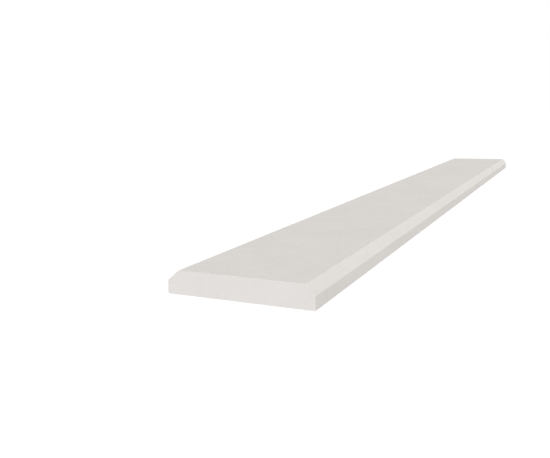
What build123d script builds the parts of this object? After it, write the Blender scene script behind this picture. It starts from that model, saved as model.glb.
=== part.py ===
from build123d import *
import os

# Threshold saddle: one bar of dense stone, ground to a bevel along both long top edges and sawn
# square at both ends. It lies flat. X runs along the bar, Y across it from the front edge to
# the back edge, and Z up. The origin is the middle of the underside. Sizes are in millimetres.

# Stock size: 36 by 4 by 5/8 inches
LENGTH = 914.4
WIDTH = 101.6
THICKNESS = 15.875

# Ground bevels: each run is measured in from its long edge, and the rise down from the top
FRONT_BEVEL_RUN = 5.5
BACK_BEVEL_RUN = 8.5
BEVEL_RISE = 7.1

# Eased corners: the rubbed arrises above and below each bevel, and the nibbed edges of the
# sawn faces, which are the two ends and the underside
ARRIS_RADIUS = 0.8
SAWN_NIB = 0.2

# Places in the section that follow from the sizes above
front = -WIDTH / 2
back = WIDTH / 2
shoulder = THICKNESS - BEVEL_RISE

with BuildPart() as saddle:
    # The section, looking along the bar from its left end
    with BuildSketch(Plane.YZ) as section:
        with BuildLine():
            Polyline(
                (front, 0),
                (back, 0),
                (back, shoulder),
                (back - BACK_BEVEL_RUN, THICKNESS),
                (front + FRONT_BEVEL_RUN, THICKNESS),
                (front, shoulder),
                close=True,
            )
        make_face()
        base_corners = section.vertices().group_by(Axis.Y)[0]
        bevel_corners = section.vertices() - base_corners
        fillet(bevel_corners, radius=ARRIS_RADIUS)
        chamfer(base_corners, length=SAWN_NIB)
    extrude(amount=LENGTH / 2, both=True)

    # The sharp rim that the saw leaves round each end is taken off
    sawn_ends = saddle.faces().filter_by(Axis.X)
    chamfer(sawn_ends.edges(), length=SAWN_NIB)

saddle.part.label = "saddle"

os.makedirs("parts", exist_ok=True)
export_step(saddle.part, "parts/saddle.step")
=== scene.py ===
import math

import bpy
from mathutils import Matrix, Vector, noise


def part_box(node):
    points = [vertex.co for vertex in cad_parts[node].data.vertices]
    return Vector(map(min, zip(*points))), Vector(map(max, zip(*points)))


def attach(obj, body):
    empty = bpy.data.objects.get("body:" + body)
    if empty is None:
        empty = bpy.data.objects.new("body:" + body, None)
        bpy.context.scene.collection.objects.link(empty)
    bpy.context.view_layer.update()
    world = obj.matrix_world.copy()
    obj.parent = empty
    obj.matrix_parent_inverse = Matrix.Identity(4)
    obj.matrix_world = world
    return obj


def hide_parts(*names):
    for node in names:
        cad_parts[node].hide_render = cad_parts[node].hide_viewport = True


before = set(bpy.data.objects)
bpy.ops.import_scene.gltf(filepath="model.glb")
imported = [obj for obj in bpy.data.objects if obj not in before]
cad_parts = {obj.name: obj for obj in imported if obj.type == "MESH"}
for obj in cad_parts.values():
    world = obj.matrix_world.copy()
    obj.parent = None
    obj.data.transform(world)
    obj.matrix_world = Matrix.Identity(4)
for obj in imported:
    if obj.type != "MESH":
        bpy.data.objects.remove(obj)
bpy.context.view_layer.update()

# A stone threshold saddle lying on a pale floor. Everything is in metres, X along the bar,
# Y across it from the front edge to the back edge, and Z up from the floor.

low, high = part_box("saddle")

# The section's own sizes, which the box doesn't give
MM = 0.001
FRONT_BEVEL_RUN = 5.5 * MM
BACK_BEVEL_RUN = 8.5 * MM
BEVEL_RISE = 7.1 * MM
ARRIS_RADIUS = 0.8 * MM
SAWN_NIB = 0.08 * MM  # finer than the solid's, as the photograph's sawn edges are crisp

# How finely the bar is drawn
STATION = 1.0 * MM  # between sections along the bar
RIM_DEPTH = 1.2 * MM  # from each end to the first of them
RIM_STEP = 1.0 * MM  # between points round a sawn end
ARRIS_STEPS = 6
NIB_STEPS = 2

# How uneven the saw and the rubbing leave the edges
ARRIS_WANDER = 0.10  # share of the arris radius
ARRIS_WAVE = 45 * MM
NIB_WANDER = 0.30  # share of the nib
NIB_WAVE = 3.5 * MM
CHIP_FROM = 0.45  # the noise above this is a chip
CHIP_SIZE = 0.26 * MM  # where the noise is at its highest
CHIP_WAVE = 2.2 * MM
CHIP_SECOND_SIDE = 0.7  # how far a long edge's chip reaches over its second face, against its first
CHIP_HOLLOW = 0.25  # share of its size by which it is scooped out
CORNER_KEEP = 1.5 * MM  # chips on the end rims stay this far from the lower corners

# Each kind of unevenness reads a plane of the noise of its own, and each edge a line in that plane
ARRIS_PLANE = 2.1
NIB_PLANE = 7.3
CHIP_PLANE = 0.37
FIRST_EDGE_LINE = 3.0
EDGE_LINE_STEP = 10.0
LEFT_RIM_LINE = 51.0
RIGHT_RIM_LINE = 83.0

# The rings round a sawn end's rim. Each lies inwards from the sharp edge by the first two numbers,
# shares of the nib and of a chip, and back along the bar by the last two
RIM_ON_FACE = (1.0, 0.8, 0.0, 0.0)
RIM_BETWEEN = (0.4, 0.5, 0.4, 0.55)
RIM_ON_SIDE = (0.0, 0.0, 1.0, 1.0)

# The texture map: the bar unrolled in two halves, one above the other, and the two ends above them
MAP_GAP = 4 * MM

# The photograph's camera: it heads from +X towards +Y, looks down by its pitch and leans by its roll
CAMERA_PLACE = (-0.786227, -0.187024, 0.114583)
CAMERA_HEADING = math.radians(26.054)
CAMERA_PITCH = math.radians(10.513)
CAMERA_ROLL = math.radians(-1.314)
CAMERA_LENS = 42.219
SENSOR_WIDTH = 36.0

# Light, where a level of 1 shows a colour as it is written
WHITE = (1.0, 1.0, 1.0)
SKY_LEVEL = 0.537
SKY_COLOUR = (1.0, 1.0, 0.976)
KEY_LEVEL = 0.775
KEY_COLOUR = (0.961, 0.977, 1.0)
KEY_FROM = (-0.714, -0.554, 0.427)
FILL_LEVEL = 0.15
FILL_FROM = (0.62, 0.70, 0.35)
LAMP_WIDTH = math.radians(35)
FLOOR_SIZE = 16.0
FLOOR_COLOUR = (0.45, 0.45, 0.45)
FLOOR_LIFT = 0.63  # added where the floor is seen, not where it lights, and brings it up to white

# The stone's colours, and how rough each finish is
HONED_COLOUR = (0.733, 0.699, 0.667)
# The sawn colour is lighter than the honed one partly as the sawn finish's own tone and partly as painted
# light, which brightens the sawn ends in place of more key light from their side
SAWN_COLOUR_WITH_PAINTED_LIGHT = (0.765, 0.728, 0.703)
STONE_SHINE = 0.15
HONED_ROUGHNESS = 0.72
SAWN_ROUGHNESS = 0.80
GRIT_ROUGHNESS = 0.05  # how far the grit takes these up and down

# What varies within the stone: each kind's size in millimetres, and the share by which it lightens
# or darkens the colour
CLOUD_SIZE = 38
CLOUD_REACH = 0.045
FLECK_SIZE = 4.2
FLECK_DEPTH = 0.034
FLECK_SQUEEZE = (0.55, 1.0, 1.0)  # squeezing X draws the flecks out along the bar
FLECK_FROM = 0.54  # the noise where a fleck starts
FLECK_FULL = 0.70  # and where it is darkest
GRAIN_SIZE = 0.45
GRAIN_REACH = 0.020
CRYSTAL_SHARE = 0.06
CRYSTAL_GLINT = 0.032
GRIT_SIZE = 0.32
GRIT_REACH = 0.020
PINHOLE_SPACING = 9.0
PINHOLE_SHARE = 0.38
# The pinholes darken the colour as painted shade in their pits
PINHOLE_PAINTED_SHADE = 0.16
PINHOLE_CORE = 0.020  # share of the spacing out to which a pinhole is deepest
PINHOLE_RIM = 0.034  # and at which it ends
SAWN_FADE = 0.4  # how much of all this the blade's fine scratches hide

# Heights of the relief, in millimetres
HONED_GRIT_HEIGHT = 0.006
SAWN_GRIT_HEIGHT = 0.015
PINHOLE_HEIGHT = -0.12
BLADE_HEIGHT = 0.016

# The saw that cut the ends: its centre above the bar and the width of its marks, in millimetres
BLADE_CENTRE = (0.0, -22.0, 168.0)
BLADE_MARK = 1.1
WORN_BELOW = 0.40  # the cloud noise under which the marks are most worn
WHOLE_ABOVE = 0.62  # and over which they are whole
WORN_SHARE = 0.25  # of their height that is left where they are most worn


# The section


def waver(place, wave, line, plane):
    """Smooth noise along an edge, from about -1 to 1."""
    return noise.noise(Vector((place / wave, line, plane)))


def nib_size(place, line):
    return SAWN_NIB * (1 + NIB_WANDER * waver(place, NIB_WAVE, line, NIB_PLANE))


def chip(place, line):
    """How far a chip bites in at this place along an edge, which is nothing nearly everywhere."""
    above = waver(place, CHIP_WAVE, line, CHIP_PLANE) - CHIP_FROM
    return CHIP_SIZE * max(0.0, above) / (1 - CHIP_FROM)


def nibbed(corner, arriving, leaving, x, line):
    """The points at x of a sawn corner with its nib, and here and there a chip."""
    size = nib_size(x, line)
    bite = chip(x, line)
    first = corner - arriving * (size + bite)
    last = corner + leaving * (size + bite * CHIP_SECOND_SIDE)
    inward = (leaving - arriving).normalized()
    points = []
    for i in range(NIB_STEPS + 1):
        share = i / NIB_STEPS
        scoop = inward * bite * math.sin(math.pi * share) * CHIP_HOLLOW
        points.append(first.lerp(last, share) + scoop)
    return points


def rounded(corner, arriving, leaving, x, line):
    """The points at x of a rubbed corner, which is an arc."""
    turn = arriving.angle(leaving)
    radius = ARRIS_RADIUS * (1 + ARRIS_WANDER * waver(x, ARRIS_WAVE, line, ARRIS_PLANE))
    start = corner - arriving * radius * math.tan(turn / 2)
    centre = start + Vector((-arriving.y, arriving.x)) * radius
    spoke = start - centre
    return [
        centre + Matrix.Rotation(turn * i / ARRIS_STEPS, 2) @ spoke for i in range(ARRIS_STEPS + 1)
    ]


def corners():
    """The section's sharp corners, counter-clockwise seen from the right end, and how each is eased."""
    front, back, base, top = low.y, high.y, low.z, high.z
    return [
        (Vector((front, base)), nibbed),
        (Vector((back, base)), nibbed),
        (Vector((back, top - BEVEL_RISE)), rounded),
        (Vector((back - BACK_BEVEL_RUN, top)), rounded),
        (Vector((front + FRONT_BEVEL_RUN, top)), rounded),
        (Vector((front, top - BEVEL_RISE)), rounded),
    ]


def outline(x):
    """The section at x as a closed loop of points."""
    found = corners()
    loop = []
    for i, (corner, eased) in enumerate(found):
        before = found[i - 1][0]
        after = found[(i + 1) % len(found)][0]
        arriving = (corner - before).normalized()
        leaving = (after - corner).normalized()
        loop += eased(corner, arriving, leaving, x, FIRST_EDGE_LINE + EDGE_LINE_STEP * i)
    return loop


def is_sawn(stretch):
    """Whether this stretch of the outline is the underside or one of its nibs, which come first."""
    return stretch < 2 * NIB_STEPS + 1


def finer(loop):
    """The loop with its long flats divided, and the places in it of the loop's own points and its end."""
    fine = []
    own = []
    for i, point in enumerate(loop):
        after = loop[(i + 1) % len(loop)]
        parts = max(1, round((after - point).length / RIM_STEP))
        own.append(len(fine))
        fine += [point.lerp(after, k / parts) for k in range(parts)]
    own.append(len(fine))
    return fine, own


def insets(loop):
    """For each point of a loop, the step that moves it and its two sides inwards by 1."""
    steps = []
    for i, point in enumerate(loop):
        arriving = (point - loop[i - 1]).normalized()
        leaving = (loop[(i + 1) % len(loop)] - point).normalized()
        first = Vector((-arriving.y, arriving.x))
        second = Vector((-leaving.y, leaving.x))
        steps.append((first + second) / (1 + first.dot(second)))
    return steps


def lengths_round(loop):
    """How far round the section each point of the loop lies, ending with the whole way round."""
    lengths = [0.0]
    for i, point in enumerate(loop):
        lengths.append(lengths[-1] + (loop[(i + 1) % len(loop)] - point).length)
    return lengths


# The mesh


class Surface:
    """Gathers points and faces, and where each face's corners lie on the unrolled bar or its own end."""

    def __init__(self):
        self.points = []
        self.faces = []
        self.places = []
        self.parts = []
        self.sawn = []

    def ring(self, xs, loop):
        """Adds a loop's points, each at its own x, and returns their numbers."""
        first = len(self.points)
        self.points += [(x, p.x, p.y) for x, p in zip(xs, loop)]
        return list(range(first, first + len(loop)))

    def face(self, points, places, part, sawn, flip=False):
        """Adds a face that lies on this part of the texture map. flip turns it over."""
        self.faces.append(points[::-1] if flip else points)
        self.places.append(places[::-1] if flip else places)
        self.parts.append(part)
        self.sawn.append(sawn)

    def band(self, rings, xs, lengths, part, sawn, flip=False):
        """Adds the faces between two rings, with their xs on the map and which of them are sawn."""
        near, far = rings
        near_x, far_x = xs
        for i in range(len(near)):
            j = (i + 1) % len(near)
            points = [near[i], near[j], far[j], far[i]]
            places = [
                (near_x, lengths[i]),
                (near_x, lengths[i + 1]),
                (far_x, lengths[i + 1]),
                (far_x, lengths[i]),
            ]
            self.face(points, places, part, sawn[i], flip)


def build_bar(surface):
    """The long faces between the two end rims. Returns each outermost ring with its x."""
    start = low.x + RIM_DEPTH
    span = high.x - low.x - 2 * RIM_DEPTH
    count = round(span / STATION)
    stations = [start + span * i / count for i in range(count + 1)]
    rings = []
    for x in stations:
        loop = outline(x)
        rings.append(surface.ring([x] * len(loop), loop))
    lengths = lengths_round(outline(0.0))
    sawn = [is_sawn(i) for i in range(len(rings[0]))]
    for i in range(count):
        xs = stations[i : i + 2]
        part = "left" if sum(xs) < 0 else "right"
        surface.band(rings[i : i + 2], xs, lengths, part, sawn)
    return (rings[0], stations[0]), (rings[-1], stations[-1])


def build_end(surface, bar_ring, bar_x, end_x, part, line):
    """One sawn end: its face, the nibbed rim with its chips, and the step to the bar's outermost ring."""
    out = math.copysign(1, end_x - bar_x)
    flip = out > 0
    loop = outline(bar_x)
    fine, own = finer(loop)
    steps = insets(fine)

    # The way round this end is brought to its length on the map
    scale = lengths_round(outline(0.0))[-1] / lengths_round(fine)[-1]
    fine_lengths = [scale * length for length in lengths_round(fine)]
    bar_lengths = [scale * length for length in lengths_round(loop)]

    nibs = [nib_size(place, line) for place in fine_lengths[:-1]]
    bites = []
    for point, place in zip(fine, fine_lengths):
        from_corner = min(point.x - low.y, high.y - point.x) + point.y - low.z
        bites.append(chip(place, line) if from_corner > CORNER_KEEP else 0.0)

    def rim_ring(nib_in, chip_in, nib_back, chip_back):
        """One of the rings round the rim, and its outline."""
        moved = [
            point + step * (nib * nib_in + bite * chip_in)
            for point, step, nib, bite in zip(fine, steps, nibs, bites)
        ]
        xs = [end_x - out * (nib * nib_back + bite * chip_back) for nib, bite in zip(nibs, bites)]
        return surface.ring(xs, moved), moved

    on_face, face_outline = rim_ring(*RIM_ON_FACE)
    between, _ = rim_ring(*RIM_BETWEEN)
    on_side, _ = rim_ring(*RIM_ON_SIDE)
    rim_x = end_x - out * SAWN_NIB
    halfway = (end_x + rim_x) / 2
    all_sawn = [True] * len(fine)
    surface.band((on_face, between), (end_x, halfway), fine_lengths, part, all_sawn, flip)
    surface.band((between, on_side), (halfway, rim_x), fine_lengths, part, all_sawn, flip)

    # Each side of the bar's outermost ring meets all the rim's points along it
    for i in range(len(loop)):
        stretch = range(own[i], own[i + 1] + 1)
        points = [on_side[k % len(fine)] for k in stretch]
        points += [bar_ring[(i + 1) % len(loop)], bar_ring[i]]
        places = [(rim_x, fine_lengths[k]) for k in stretch]
        places += [(bar_x, bar_lengths[i + 1]), (bar_x, bar_lengths[i])]
        surface.face(points, places, part, is_sawn(i), flip)

    face_places = [(p.x, p.y) for p in face_outline]
    surface.face(on_face, face_places, part + " end", True, not flip)


def lay_out(surface):
    """Each face corner's place on the texture map, in shares of its side."""
    row = lengths_round(outline(0.0))[-1] + MAP_GAP
    side = 2 * row + high.z - low.z + 2 * MAP_GAP
    starts = {
        "left": (-low.x, 0.0),
        "right": (0.0, row),
        "left end": (-low.y, 2 * row),
        "right end": (high.y - 2 * low.y + MAP_GAP, 2 * row),
    }
    found = []
    for places, part in zip(surface.places, surface.parts):
        across, up = starts[part]
        for u, v in places:
            found += [(u + across + MAP_GAP) / side, (v + up + MAP_GAP) / side]
    return found


def make_bar():
    surface = Surface()
    first, last = build_bar(surface)
    build_end(surface, *first, low.x, "left", LEFT_RIM_LINE)
    build_end(surface, *last, high.x, "right", RIGHT_RIM_LINE)
    mesh = bpy.data.meshes.new("stone_bar")
    mesh.from_pydata(surface.points, [], surface.faces)
    texture_map = mesh.uv_layers.new(name="OFBake")
    texture_map.data.foreach_set("uv", lay_out(surface))
    sawn = mesh.attributes.new("sawn", "FLOAT", "FACE")
    sawn.data.foreach_set("value", [float(s) for s in surface.sawn])
    mesh.polygons.foreach_set("use_smooth", [True] * len(mesh.polygons))
    mesh.update()
    bar = bpy.data.objects.new("stone_bar", mesh)
    bpy.context.scene.collection.objects.link(bar)
    # The flats are far larger than the eased strips beside them, so they keep their own direction
    weighted = bar.modifiers.new("flats stay flat", "WEIGHTED_NORMAL")
    weighted.mode = "FACE_AREA"
    weighted.weight = 100
    return bar


# Materials


class Nodes:
    """Adds nodes to the tree of a material or the world."""

    def __init__(self, owner):
        owner.use_nodes = True
        self.tree = owner.node_tree
        self.tree.nodes.clear()

    def add(self, kind, inputs=None, **settings):
        """A node with these settings, and each input set to a value or fed by a node or a socket."""
        node = self.tree.nodes.new("ShaderNode" + kind)
        for name, value in settings.items():
            setattr(node, name, value)
        for name, value in (inputs or {}).items():
            socket = node.inputs[name]
            if isinstance(value, bpy.types.Node):
                value = value.outputs[0]
            if isinstance(value, bpy.types.NodeSocket):
                self.tree.links.new(value, socket)
            else:
                socket.default_value = value
        return node

    def math(self, operation, *values):
        return self.add("Math", dict(enumerate(values)), operation=operation)

    def product(self, first, second):
        return self.math("MULTIPLY", first, second)

    def total(self, first, *others):
        for other in others:
            first = self.math("ADD", first, other)
        return first

    def between(self, share, at_zero, at_one):
        """A number that goes from one value to the other as the share goes from 0 to 1."""
        return self.math("MULTIPLY_ADD", share, at_one - at_zero, at_zero)

    def around_zero(self, share, reach):
        """A share from 0 to 1, brought to lie up to this reach each side of 0."""
        return self.between(share, -reach, reach)

    def smooth_step(self, value, low_end, high_end, at_low=0.0, at_high=1.0):
        inputs = {0: value, 1: low_end, 2: high_end, 3: at_low, 4: at_high}
        return self.add("MapRange", inputs, interpolation_type="SMOOTHSTEP")

    def cloud_noise(self, place, size, detail, roughness=0.5):
        """Smooth noise whose largest features are about this size."""
        inputs = {"Vector": place, "Scale": 1 / size, "Detail": detail, "Roughness": roughness}
        return self.add("TexNoise", inputs)

    def cells(self, place, size):
        """How far each place is from its cell's own point, and a number from 0 to 1 for each cell."""
        voronoi = self.add("TexVoronoi", {"Vector": place, "Scale": 1 / size})
        own_number = self.add("SeparateColor", {0: voronoi.outputs["Color"]})
        return voronoi.outputs["Distance"], own_number


def pinholes_in(nodes, mm):
    """1 in the pinholes, which are few and far between, and 0 outside them."""
    distance, own_number = nodes.cells(mm, PINHOLE_SPACING)
    near = nodes.smooth_step(distance, PINHOLE_CORE, PINHOLE_RIM, 1.0, 0.0)
    there = nodes.math("GREATER_THAN", own_number, 1 - PINHOLE_SHARE)
    return nodes.product(near, there)


def blade_marks(nodes, mm, clouds):
    """Arcs about the blade's centre, from 0 to 1, uneven in height and here and there worn away."""
    # X is left out, as the blade cuts straight across the bar, so the underside has lines along it
    inputs = {0: mm, 1: (0.0, 1.0, 1.0), 2: [-c for c in BLADE_CENTRE]}
    from_centre = nodes.add("VectorMath", inputs, operation="MULTIPLY_ADD")
    radius = nodes.add("VectorMath", {0: from_centre}, operation="LENGTH").outputs["Value"]
    inputs = {"W": radius, "Scale": 1 / BLADE_MARK, "Detail": 2.0}
    marks = nodes.add("TexNoise", inputs, noise_dimensions="1D")
    return nodes.product(marks, nodes.smooth_step(clouds, WORN_BELOW, WHOLE_ABOVE, WORN_SHARE))


def pattern_of(nodes, mm, clouds, grit, pinholes):
    """The share by which the stone is lighter than its finish's colour, or darker where negative."""
    # Small darker flecks, and crystal grains of which a few glint
    squeezed = nodes.add("VectorMath", {0: mm, 1: FLECK_SQUEEZE}, operation="MULTIPLY")
    fleck_noise = nodes.cloud_noise(squeezed, FLECK_SIZE, detail=3.0)
    flecks = nodes.smooth_step(fleck_noise, FLECK_FROM, FLECK_FULL)
    _, grain = nodes.cells(mm, GRAIN_SIZE)
    crystals = nodes.math("GREATER_THAN", grain, 1 - CRYSTAL_SHARE)
    return nodes.total(
        nodes.around_zero(clouds, CLOUD_REACH),
        nodes.around_zero(grain, GRAIN_REACH),
        nodes.around_zero(grit, GRIT_REACH),
        nodes.product(crystals, CRYSTAL_GLINT),
        nodes.product(flecks, -FLECK_DEPTH),
        # Painted shade in the pinholes' pits
        nodes.product(pinholes, -PINHOLE_PAINTED_SHADE),
    )


def colour_of(nodes, sawn, pattern):
    """The finish's colour with the pattern, which shows less where the stone is sawn; the sawn colour is
    partly painted light on the ends.
    """
    shown = nodes.between(sawn, 1.0, 1 - SAWN_FADE)
    level = nodes.math("MULTIPLY_ADD", pattern, shown, 1.0)
    # The mix node keeps its colours in inputs 6 and 7 and output 2
    # The sawn colour is partly the finish's own tone and partly painted light on the sawn ends
    colours = {0: sawn, 6: (*HONED_COLOUR, 1), 7: (*SAWN_COLOUR_WITH_PAINTED_LIGHT, 1)}
    finish_and_painted_light = nodes.add("Mix", colours, data_type="RGBA").outputs[2]
    return nodes.add("VectorMath", {0: finish_and_painted_light, "Scale": level}, operation="SCALE")


def relief_of(nodes, mm, sawn, clouds, grit, pinholes):
    """Heights in millimetres: the blade's marks where it is sawn, and grit and pinholes everywhere."""
    marks = blade_marks(nodes, mm, clouds)
    return nodes.total(
        nodes.product(marks, nodes.product(sawn, BLADE_HEIGHT)),
        nodes.product(grit, nodes.between(sawn, HONED_GRIT_HEIGHT, SAWN_GRIT_HEIGHT)),
        nodes.product(pinholes, PINHOLE_HEIGHT),
    )


def stone_material():
    material = bpy.data.materials.new("pale_stone")
    nodes = Nodes(material)
    place = nodes.add("TexCoord").outputs["Object"]
    mm = nodes.add("VectorMath", {"Vector": place, "Scale": 1 / MM}, operation="SCALE")
    sawn = nodes.add("Attribute", attribute_name="sawn").outputs["Fac"]

    # Soft clouds, the finest grit and the pinholes, which the colour and the relief share; in the colour
    # the pinholes are painted shade
    clouds = nodes.cloud_noise(mm, CLOUD_SIZE, detail=3.0, roughness=0.55)
    grit = nodes.cloud_noise(mm, GRIT_SIZE, detail=1.0)
    pinholes = pinholes_in(nodes, mm)
    colour = colour_of(nodes, sawn, pattern_of(nodes, mm, clouds, grit, pinholes))
    height = relief_of(nodes, mm, sawn, clouds, grit, pinholes)
    bump = nodes.add("Bump", {"Strength": 1.0, "Distance": MM, "Height": height})

    # Honed faces are dull and smooth, and sawn ones duller still
    roughness = nodes.math(
        "ADD",
        nodes.between(sawn, HONED_ROUGHNESS, SAWN_ROUGHNESS),
        nodes.around_zero(grit, GRIT_ROUGHNESS),
    )
    inputs = {
        "Base Color": colour,
        "Roughness": roughness,
        "Specular IOR Level": STONE_SHINE,
        "Normal": bump,
    }
    nodes.add("OutputMaterial", {"Surface": nodes.add("BsdfPrincipled", inputs)})
    return material


def seen_directly(nodes):
    """1 for a ray from the camera, a reflection or a clear material, and 0 for a ray that lights."""
    path = nodes.add("LightPath")
    seen = nodes.math("MAXIMUM", path.outputs["Is Camera Ray"], path.outputs["Is Glossy Ray"])
    return nodes.math("MAXIMUM", seen, path.outputs["Is Transmission Ray"])


def floor_material():
    material = bpy.data.materials.new("pale_floor")
    nodes = Nodes(material)
    paint = nodes.add("BsdfDiffuse", {"Color": (*FLOOR_COLOUR, 1)})
    lift = nodes.product(seen_directly(nodes), FLOOR_LIFT)
    glow = nodes.add("Emission", {"Color": (*WHITE, 1), "Strength": lift})
    nodes.add("OutputMaterial", {"Surface": nodes.add("AddShader", {0: paint, 1: glow})})
    return material


# Stage


def add_floor():
    half = FLOOR_SIZE / 2
    points = [(-half, -half, 0), (half, -half, 0), (half, half, 0), (-half, half, 0)]
    mesh = bpy.data.meshes.new("floor")
    mesh.from_pydata(points, [], [(0, 1, 2, 3)])
    mesh.materials.append(floor_material())
    floor = bpy.data.objects.new("floor", mesh)
    floor.location.z = low.z
    bpy.context.scene.collection.objects.link(floor)


def add_sky():
    """A plain soft light from all round, which the camera sees as white."""
    world = bpy.data.worlds.new("studio")
    nodes = Nodes(world)
    light = nodes.add("Background", {"Color": (*SKY_COLOUR, 1), "Strength": SKY_LEVEL})
    seen = nodes.add("Background", {"Color": (*WHITE, 1), "Strength": 1.0})
    sky = nodes.add("MixShader", {0: seen_directly(nodes), 1: light, 2: seen})
    nodes.add("OutputWorld", {"Surface": sky})
    bpy.context.scene.world = world


def add_lamp(name, level, colour, source):
    lamp = bpy.data.lights.new(name, "SUN")
    lamp.energy = level * math.pi
    lamp.color = colour
    lamp.angle = LAMP_WIDTH
    holder = bpy.data.objects.new(name, lamp)
    holder.rotation_mode = "QUATERNION"
    holder.rotation_quaternion = Vector(source).to_track_quat("Z", "Y")
    bpy.context.scene.collection.objects.link(holder)


def add_camera():
    level_forward = Vector((math.cos(CAMERA_HEADING), math.sin(CAMERA_HEADING), 0.0))
    down = Vector((0.0, 0.0, -1.0))
    forward = level_forward * math.cos(CAMERA_PITCH) + down * math.sin(CAMERA_PITCH)
    level_right = down.cross(level_forward)
    level_up = level_right.cross(forward)
    right = level_right * math.cos(CAMERA_ROLL) + level_up * math.sin(CAMERA_ROLL)
    up = level_up * math.cos(CAMERA_ROLL) - level_right * math.sin(CAMERA_ROLL)
    lens = bpy.data.cameras.new("camera")
    lens.lens = CAMERA_LENS
    lens.sensor_width = SENSOR_WIDTH
    camera = bpy.data.objects.new("camera", lens)
    turn = Matrix((right, up, -forward)).transposed().to_4x4()
    camera.matrix_world = Matrix.Translation(CAMERA_PLACE) @ turn
    bpy.context.scene.collection.objects.link(camera)
    bpy.context.scene.camera = camera


bar = make_bar()
bar.data.materials.append(stone_material())
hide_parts("saddle")
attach(bar, "root")

add_floor()
add_sky()
add_lamp("key", KEY_LEVEL, KEY_COLOUR, KEY_FROM)
add_lamp("fill", FILL_LEVEL, WHITE, FILL_FROM)
add_camera()
bpy.context.scene.view_settings.view_transform = "Standard"
